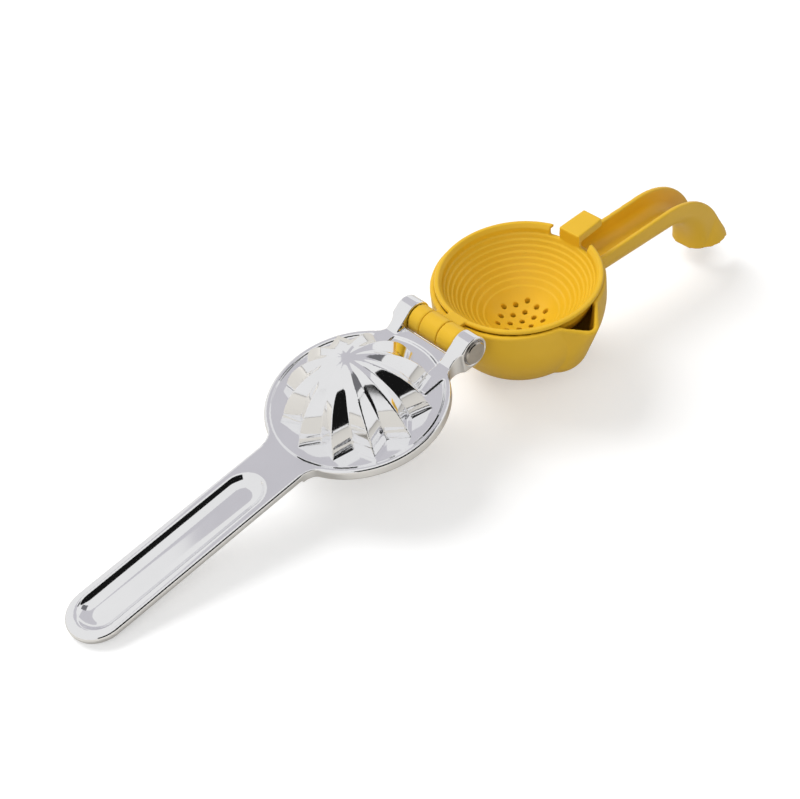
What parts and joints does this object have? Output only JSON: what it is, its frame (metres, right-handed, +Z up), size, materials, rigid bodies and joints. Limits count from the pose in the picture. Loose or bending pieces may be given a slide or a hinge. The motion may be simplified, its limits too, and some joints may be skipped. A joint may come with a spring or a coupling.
{
  "type": "hinged lemon squeezer",
  "caption": "Hand-held hinged citrus press: a bowl with pouring spout and channel handle, a stepped strainer cup and a press arm with a fluted dome, on one hinge pin.",
  "frame": {"origin": "centre of the flat pad under the bowl, on the table it rests on", "axes": "+X from the bowl towards the yellow channel handle, +Z up from the table; the spout and the pin's head point to -Y"},
  "size_m": [0.3887, 0.0869, 0.0613],
  "materials": {
    "bowl_enamel": "glossy yellow enamel on cast aluminium",
    "strainer_enamel": "glossy yellow enamel on cast aluminium",
    "press_plating": "polished bright plating on cast aluminium",
    "pin_steel": "polished",
    "washer_steel": "satin",
    "ring_steel": "satin"
  },
  "bodies": {
    "bowl_body": {"bowl": "bowl_enamel", "hinge_pin": "pin_steel", "head_washer": "washer_steel", "retaining_ring": "ring_steel"},
    "strainer_body": {"strainer": "strainer_enamel"},
    "press_body": {"press_arm": "press_plating"}
  },
  "joints": [
    {"name": "press_hinge", "type": "hinge", "parent": "bowl_body", "child": "press_body", "pos_m": [-0.05051, 0, 0.04574], "axis": [0, 1, 0], "range_deg": [0, 182.4]},
    {"name": "strainer_hinge", "type": "hinge", "parent": "bowl_body", "child": "strainer_body", "pos_m": [-0.05051, 0, 0.04574], "axis": [0, -1, 0], "range_deg": [0, 182.4]}
  ]
}
